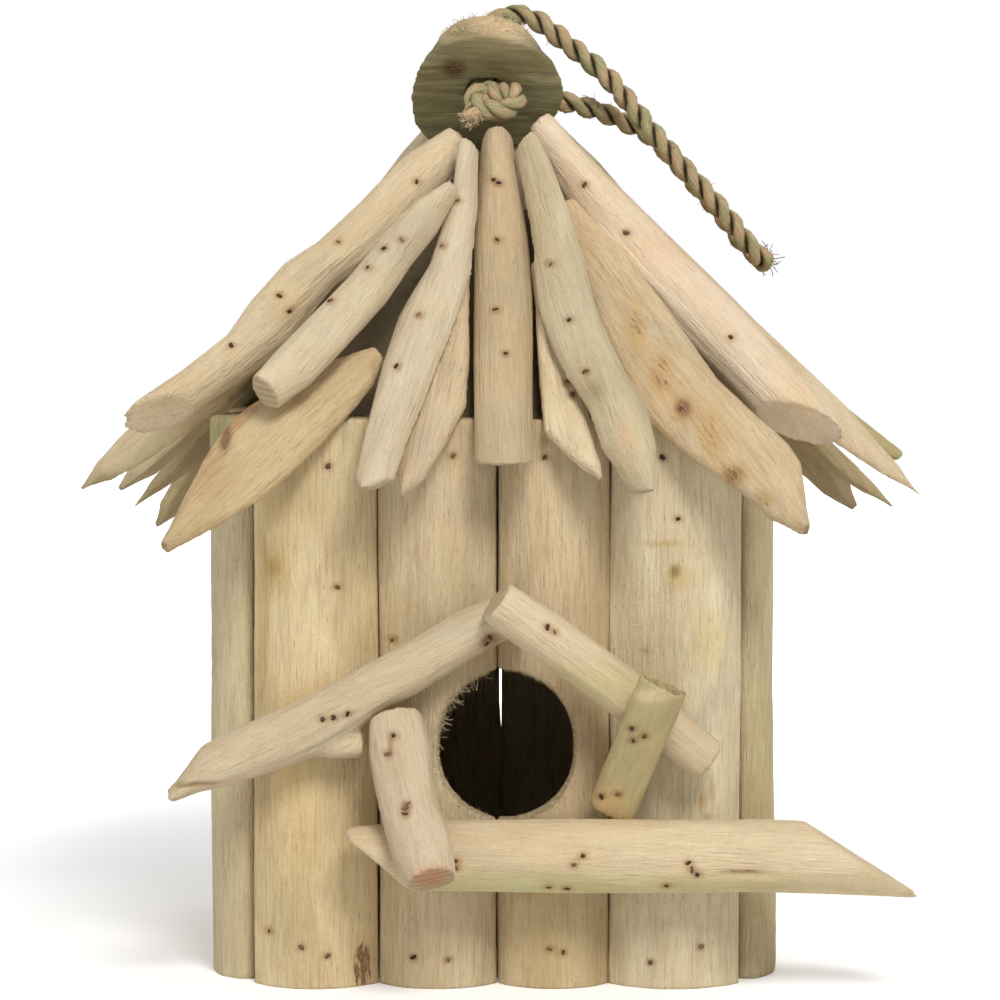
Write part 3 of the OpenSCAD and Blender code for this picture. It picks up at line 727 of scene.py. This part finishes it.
worn("cap_disc", cap_wood_in_painted_shade, "cap_disc", 131, voxel=0.8, rough=0.25, sway=0.4, grain_along=(1, 0.05, 0.03),
     shape=cap_shape, reach=0.4, marks=cap_marks_with_painted_light)

# ---------------------------------------------------------------- Perch
# A straight round log across the front, cut on a long slant at its right end
# and nailed through into the slabs.
gable_wood = wood("gable_wood", (0.765, 0.645, 0.465), (0.70, 0.565, 0.385), (0.55, 0.42, 0.275),
                  (0.36, 0.25, 0.155), roughness=0.78, contrast=0.68)


def perch_shape(at):
    """The log's sharp right end droops, and its left end is worn down on top."""
    moved = at.copy()
    moved[:, 0] += 1.4 * np.clip((at[:, 0] - 88) / 26, 0, 1) ** 2
    moved[:, 2] -= 1.6 * np.clip((at[:, 0] - 70) / 44, 0, 1) ** 1.5
    moved[:, 2] -= 2.2 * np.clip((-22 - at[:, 0]) / 20, 0, 1) * np.clip((at[:, 2] - 38) / 10, 0, 1)
    return moved


# The long greenish mark along the log's underside is painted shade
worn("perch", gable_wood, "gable_and_perch", 141, voxel=1.0, tone=(1.11, 1.07, 0.97), sway=0.4,
     shape=perch_shape, marks=[(20, 32.5, 75, 5, (0.82, 0.90, 0.74), 0, 0),
                               (68.5, 37.2, 6.5, 0.9, (0.6, 0.5, 0.42), -0.7, 0.35)])

# ---------------------------------------------------------------- Gable and posts
# Two sticks that lean together over the entrance, and two short lengths that
# hold them off the perch.


def left_stick_shape(at):
    """The stick's head rides up on the ridge and its thin end droops."""
    moved = at.copy()
    moved[:, 2] += 2.6 * np.clip((at[:, 0] + 45) / 40, 0, 1) - 1.3 * np.clip((-84 - at[:, 0]) / 8, 0, 1)
    return moved


def left_post_shape(at):
    """The post's foot is rounded off and reaches down over the perch."""
    moved = at.copy()
    moved[:, 2] -= 2.4 * np.clip((52 - at[:, 2]) / 14, 0, 1)
    moved[:, 0] += (at[:, 0] + 24) * 0.07
    return moved


worn("gable_stick_left", gable_wood, "gable_and_perch", 151, voxel=0.9, tone=(1.0, 0.98, 0.91), sway=0.4,
     shape=left_stick_shape, marks=[(-86, 61, 7, 0.8, (0.55, 0.45, 0.35), -0.8, 0.3),
                                    (-1, 101, 3, 3, (0.62, 0.52, 0.44), -0.6, 0.35)])
# The long greenish mark along the stick's lower side is painted shade
worn("gable_stick_right", gable_wood, "gable_and_perch", 152, voxel=0.9, tone=(0.98, 0.95, 0.86), sway=0.4,
     marks=[(22, 90, 26, 6, (0.93, 0.97, 0.82), 0, 0), (44, 84, 5, 3, (1.08, 1.04, 0.98), -0.5, 0)])
worn("post_left", gable_wood, "gable_and_perch", 153, voxel=0.8, tone=(0.95, 0.91, 0.86), sway=0.5,
     soften=6, torn=0.2, shape=left_post_shape,
     marks=[(-18, 38, 5, 4, (1.06, 0.74, 0.58), 0, 0), (-30, 73, 0.7, 3, (0.7, 0.6, 0.52), -0.5, 0.2)])
# The right post's darker olive tone is painted shade
worn("post_right", gable_wood, "gable_and_perch", 154, voxel=0.8, tone=(0.78, 0.77, 0.56), sway=0.3,
     torn=2.4, marks=[(32, 56, 5, 5, (1.2, 1.02, 0.95), 0, 0), (43, 88, 6, 2.2, (1.45, 1.4, 1.6), 0, 0)])

# ---------------------------------------------------------------- Nails
# Rusty nail heads sunk in the wood, most in pairs. The front's are where the
# maker drove them; the other walls and sticks have theirs by rule.
rust, shade, main = shader("rusty_nail", 0.8)
place = add(shade, "ShaderNodeTexCoord").outputs["Object"]
scale = stretched(shade, place, (900, 900, 900), detail=2)
rusty = blend(shade, ramp(shade, scale, 0.4, 0.65), (0.035, 0.018, 0.012), (0.11, 0.055, 0.035))
bright = blend(shade, ramp(shade, scale, 0.4, 0.65), (0.16, 0.09, 0.055), (0.30, 0.18, 0.11))
shade.links.new(blend(shade, attribute(shade, "rubbed", "Fac"), rusty, bright), main.inputs["Base Color"])
spots, facings = [], []
for node, places in front_nails.items():
    timber = bpy.data.objects[node + "_wood"].data
    skin = BVHTree.FromPolygons([v.co for v in timber.vertices], [p.vertices[:] for p in timber.polygons])
    for x, z in places:
        hit, facing, _, _ = skin.ray_cast(Vector((x * mm, -0.3, z * mm)), Vector((0, 1, 0)))
        if hit:
            spots.append(hit)
            facings.append(facing)


def crown_spot(node, share, outward):
    """The point of a piece that stands furthest outward, a share of the way along it."""
    timber = bpy.data.objects[node + "_wood"].data
    at, out = rows_of(timber, "co"), rows_of(timber, "normal")
    middle = at.mean(axis=0)
    along = np.linalg.svd((at - middle)[::5], full_matrices=False)[2][0]
    along = along if along[2] > 0 else -along
    run = (at - middle) @ along
    level = run.min() + share * (run.max() - run.min())
    near = np.nonzero(np.abs(run - level) < 0.0012)[0]
    best = near[np.argmax(at[near] @ np.array(outward))]
    return Vector(at[best]), Vector(out[best])


draw = np.random.default_rng(7)
for wall, outward in (("right", (0.9, 0.45, 0)), ("back", (0.02, 1, 0)), ("left", (-0.9, 0.45, 0))):
    for index in range(1, 5):
        for share in (0.07, 0.93):
            spot, facing = crown_spot(f"{wall}_slab_{index}", share + draw.uniform(-0.02, 0.02), outward)
            spots.append(spot)
            facings.append(facing)
for kind, numbers in (("pole", (6, 7, 8, 9)), ("slat", (5, 6, 7))):
    for index in numbers:
        for share in (0.3, 0.55, 0.8) if kind == "pole" else (0.3,):
            centre = np.array(bpy.data.objects[f"roof_{kind}_{index}_wood"].data.vertices[0].co)
            outward = Vector((centre[0], centre[1], 0)).normalized() * 0.7 + Vector((0, 0, 0.7))
            spot, facing = crown_spot(f"roof_{kind}_{index}", share + draw.uniform(-0.05, 0.05), outward)
            spots.append(spot)
            facings.append(facing)

nail_tree, into, out = new_tree("nail_heads", Width="Float", Seed="Int", Finish="Material")
head = add(nail_tree, "GeometryNodeMeshIcoSphere", {"Radius": into["Width"], "Subdivisions": 2}).outputs[0]
knock = add(nail_tree, "ShaderNodeTexNoise", {"Scale": 1500.0, "Detail": 1.0}).outputs[1]
knock = vector_of(nail_tree, "SUBTRACT", knock, (0.5, 0.5, 0.5))
head = add(nail_tree, "GeometryNodeSetPosition",
           {"Geometry": head, "Offset": vector_of(nail_tree, "SCALE", knock, Scale=0.0012)}).outputs[0]
outward = named(nail_tree, "facing", "FLOAT_VECTOR")
turned = add(nail_tree, "FunctionNodeAlignRotationToVector", {"Vector": outward}, axis="Z").outputs[0]
spin = add(nail_tree, "FunctionNodeRandomValue", {2: 0.0, 3: 6.28, "Seed": into["Seed"]},
           data_type="FLOAT").outputs[1]
own_turn = add(nail_tree, "FunctionNodeAxisAngleToRotation", {"Axis": (0, 0, 1), "Angle": spin}).outputs[0]
turned = add(nail_tree, "FunctionNodeRotateRotation", {"Rotation": turned, "Rotate By": own_turn},
             rotation_space="LOCAL").outputs[0]
size = add(nail_tree, "FunctionNodeRandomValue",
           {0: (0.5, 0.35, 0.30), 1: (1.1, 0.8, 0.42), "Seed": into["Seed"]},
           data_type="FLOAT_VECTOR").outputs[0]
heads = add(nail_tree, "GeometryNodeInstanceOnPoints",
            {"Points": into["Geometry"], "Instance": head, "Rotation": turned, "Scale": size}).outputs[0]
rubbed = add(nail_tree, "FunctionNodeRandomValue", {2: -0.5, 3: 1.0, "Seed": 11},
             data_type="FLOAT").outputs[1]
heads = stored(nail_tree, heads, "rubbed", rubbed, domain="INSTANCE")
heads = add(nail_tree, "GeometryNodeRealizeInstances", {0: heads}).outputs[0]
heads = add(nail_tree, "GeometryNodeSetShadeSmooth", {0: heads}).outputs[0]
heads = add(nail_tree, "GeometryNodeSetMaterial",
            {"Geometry": heads, "Material": into["Finish"]}).outputs[0]
nail_tree.links.new(heads, out)
points = bpy.data.meshes.new("nail_points")
points.from_pydata([tuple(s) for s in spots], [], [])
field = points.attributes.new("facing", "FLOAT_VECTOR", "POINT")
field.data.foreach_set("vector", np.array([list(f) for f in facings]).ravel())
shown_as(grown("nails", points, nail_tree, Width=1.1 * mm, Seed=4, Finish=rust), "wall_slabs")

# ---------------------------------------------------------------- Torn fibres
# The saw left a short pale fringe round the entrance and along the disc's upper
# edge, and the rope sheds grass where it bends and where its tail is cut.
fibre_wood, shade, main = shader("torn_fibre", 0.9)
place = add(shade, "ShaderNodeTexCoord").outputs["Object"]
tone = stretched(shade, place, (700, 700, 700), detail=1)
shade.links.new(blend(shade, tone, (0.60, 0.47, 0.27), (0.80, 0.68, 0.47)), main.inputs["Base Color"])

fibre_tree, into, out = new_tree("torn_fibres", Density="Float", Long="Float", Thick="Float", Curl="Float",
                                 Lean="Float", Seed="Int", Finish="Material")
scatter = add(fibre_tree, "GeometryNodeDistributePointsOnFaces",
              {"Mesh": into["Geometry"], "Density": into["Density"], "Seed": into["Seed"]})
tip_at = add(fibre_tree, "ShaderNodeCombineXYZ", {2: into["Long"]}).outputs[0]
hair = add(fibre_tree, "GeometryNodeCurvePrimitiveLine", {"End": tip_at}).outputs[0]
hair = add(fibre_tree, "GeometryNodeResampleCurve", {"Curve": hair, "Count": 5}, mode="COUNT").outputs[0]
up = add(fibre_tree, "GeometryNodeSplineParameter").outputs["Factor"]
bend = math_of(fibre_tree, "MULTIPLY", math_of(fibre_tree, "MULTIPLY", up, up), into["Curl"])
bend = math_of(fibre_tree, "MULTIPLY", bend, into["Long"])
hair = add(fibre_tree, "GeometryNodeSetPosition", {
    "Geometry": hair, "Offset": add(fibre_tree, "ShaderNodeCombineXYZ", {0: bend}).outputs[0]}).outputs[0]
hair = add(fibre_tree, "GeometryNodeSetCurveRadius", {
    "Curve": hair, "Radius": math_of(fibre_tree, "MULTIPLY_ADD", up, -0.85, 1.0)}).outputs[0]
profile = add(fibre_tree, "GeometryNodeCurvePrimitiveCircle", {"Resolution": 3, "Radius": into["Thick"]},
              mode="RADIUS").outputs[0]
hair = add(fibre_tree, "GeometryNodeCurveToMesh", {"Curve": hair, "Profile Curve": profile}).outputs[0]
size = add(fibre_tree, "FunctionNodeRandomValue", {2: 0.35, 3: 1.0, "Seed": into["Seed"]},
           data_type="FLOAT").outputs[1]
lean = into["Lean"]
back = math_of(fibre_tree, "MULTIPLY", lean, -1.0)
least = add(fibre_tree, "ShaderNodeCombineXYZ", {0: back, 1: back, 2: -3.1}).outputs[0]
most = add(fibre_tree, "ShaderNodeCombineXYZ", {0: lean, 1: lean, 2: 3.1}).outputs[0]
tip = add(fibre_tree, "FunctionNodeRandomValue", {0: least, 1: most, "Seed": into["Seed"]},
          data_type="FLOAT_VECTOR").outputs[0]
tip = add(fibre_tree, "FunctionNodeEulerToRotation", {0: tip}).outputs[0]
turned = add(fibre_tree, "FunctionNodeRotateRotation",
             {"Rotation": scatter.outputs["Rotation"], "Rotate By": tip},
             rotation_space="LOCAL").outputs[0]
hairs = add(fibre_tree, "GeometryNodeInstanceOnPoints",
            {"Points": scatter.outputs["Points"], "Instance": hair, "Rotation": turned,
             "Scale": size}).outputs[0]
closed(fibre_tree, hairs, into["Finish"], out)


def patch_mesh(name, keep, node):
    """The faces of a worn piece whose middle the rule keeps, as a mesh to grow fibres on."""
    timber = bpy.data.objects[node].data
    faces = [p.vertices[:] for p in timber.polygons if keep(p.center, p.normal)]
    used = sorted({v for face in faces for v in face})
    number = {v: i for i, v in enumerate(used)}
    mesh = bpy.data.meshes.new(name)
    points = [timber.vertices[v].co for v in used]
    mesh.from_pydata(points, [], [[number[v] for v in face] for face in faces])
    return mesh


def fringe(name, patch, slot, density, long, thick, curl, lean, seed, finish=fibre_wood):
    """Fibres that stand on a patch, that many to a square metre; long and thick are in millimetres."""
    shown_as(grown(name, patch, fibre_tree, Density=density, Long=long * mm, Thick=thick * mm, Curl=curl,
                   Lean=lean, Seed=seed, Finish=finish), slot)


hole_x, hole_z, hole_r = 2.5 * mm, 69.7 * mm, 20.5 * mm
wall_face = -77 * mm


def on_rim(at, facing):
    """Whether a face is in the sawn edge of the entrance."""
    radius = math.hypot(at.x - hole_x, at.z - hole_z)
    in_edge = hole_r - 1.5 * mm < radius < hole_r + 1.7 * mm
    return in_edge and at.y < wall_face and facing.y < 0.3


def upper_left(at, facing):
    """Whether a face is in the torn upper left quarter of that edge."""
    angle = math.degrees(math.atan2(at.z - hole_z, at.x - hole_x))
    return on_rim(at, facing) and 95 < angle < 185


for index in (2, 3):
    rim = patch_mesh("rim", on_rim, f"front_slab_{index}_wood")
    fringe(f"entrance_fibres_{index}", rim, "wall_slabs", 3.0e6, 0.9, 0.09, curl=0.4, lean=0.7, seed=index)
tuft = patch_mesh("tuft", upper_left, "front_slab_2_wood")
fringe("entrance_tuft", tuft, "wall_slabs", 0.45e6, 3.4, 0.09, curl=0.6, lean=0.9, seed=12)


def upper_edge(at, facing):
    """Whether a face of the disc looks up from its top edge."""
    return at.z > 277 * mm and facing.z > 0.1


edge = patch_mesh("edge", upper_edge, "cap_disc_wood")
fringe("disc_fibres", edge, "cap_disc", 1.2e6, 1.6, 0.12, curl=0.6, lean=1.2, seed=8)


def rope_end(at, facing):
    """Whether a face is on the outside of the rope's far bend."""
    return at.x > 81.5 * mm and at.z < 213 * mm and facing.x > 0.2


fray = patch_mesh("fray", rope_end, "rope_loop_laid")
fringe("rope_fray", fray, "rope", 0.10e6, 4.5, 0.18, curl=0.6, lean=0.6, seed=5, finish=rope_grass)
shed = patch_mesh("shed", lambda at, facing: True, "rope_loop_laid")
fringe("rope_fuzz", shed, "rope", 0.025e6, 1.6, 0.08, curl=0.6, lean=1.3, seed=6, finish=rope_grass)
cut = patch_mesh("cut", lambda at, facing: at.z < 253 * mm, "rope_tail_cut")
fringe("tail_fray", cut, "rope", 2.2e6, 1.5, 0.14, curl=0.4, lean=0.6, seed=9)

# ---------------------------------------------------------------- Floor, light and background
# A plain pale table under soft studio light, with white all round it. Only the
# camera, metal and glass see the white at full strength.


def seen_directly(tree):
    """1 for what the camera sees itself or in glass and metal, and 0 for what lights the object."""
    path = add(tree, "ShaderNodeLightPath").outputs
    mirrored = math_of(tree, "MAXIMUM", path["Is Glossy Ray"], path["Is Transmission Ray"])
    return math_of(tree, "MAXIMUM", path["Is Camera Ray"], mirrored)


table = bpy.data.meshes.new("table")
table.from_pydata([(-3, -3, 0), (3, -3, 0), (3, 3, 0), (-3, 3, 0)], [], [(0, 1, 2, 3)])
table_top = bpy.data.objects.new("table_top", table)
scene.collection.objects.link(table_top)
pale_top, shade, main = shader("pale_table", 0.9)
main.inputs["Base Color"].default_value = (0.9, 0.9, 0.9, 1)
seen = seen_directly(shade)
main.inputs["Emission Color"].default_value = (1, 1, 1, 1)
place = add(shade, "ShaderNodeTexCoord").outputs["Object"]
away = add(shade, "ShaderNodeVectorMath", {0: place}, operation="LENGTH").outputs["Value"]
away = ramp(shade, away, 0.15, 0.6)
glow = math_of(shade, "MULTIPLY_ADD", away, 0.75, 0.25)
shade.links.new(math_of(shade, "MULTIPLY", seen, glow), main.inputs["Emission Strength"])
table.materials.append(pale_top)

world = bpy.data.worlds.new("studio")
scene.world = world
world.use_nodes = True
sky = world.node_tree
sky.nodes.clear()
strength = math_of(sky, "MULTIPLY_ADD", seen_directly(sky), 0.6, 0.4)
back = add(sky, "ShaderNodeBackground", {"Color": (1, 1, 1, 1), "Strength": strength})
sky.links.new(back.outputs[0], add(sky, "ShaderNodeOutputWorld").inputs[0])


def lamp(name, where, power, size):
    """A square lamp turned to the middle of the box."""
    light = bpy.data.lights.new(name, "AREA")
    light.energy = power
    light.size = size
    piece = bpy.data.objects.new(name, light)
    piece.location = where
    piece.rotation_euler = (Vector((0, 0, 0.14)) - Vector(where)).to_track_quat("-Z", "Y").to_euler()
    scene.collection.objects.link(piece)


lamp("key_light", (0.35, -1.2, 1.25), 19, 0.5)
lamp("fill_light", (-1.3, -0.8, 0.5), 3, 1.0)
lamp("back_light", (0.5, 1.4, 0.9), 6, 1.0)
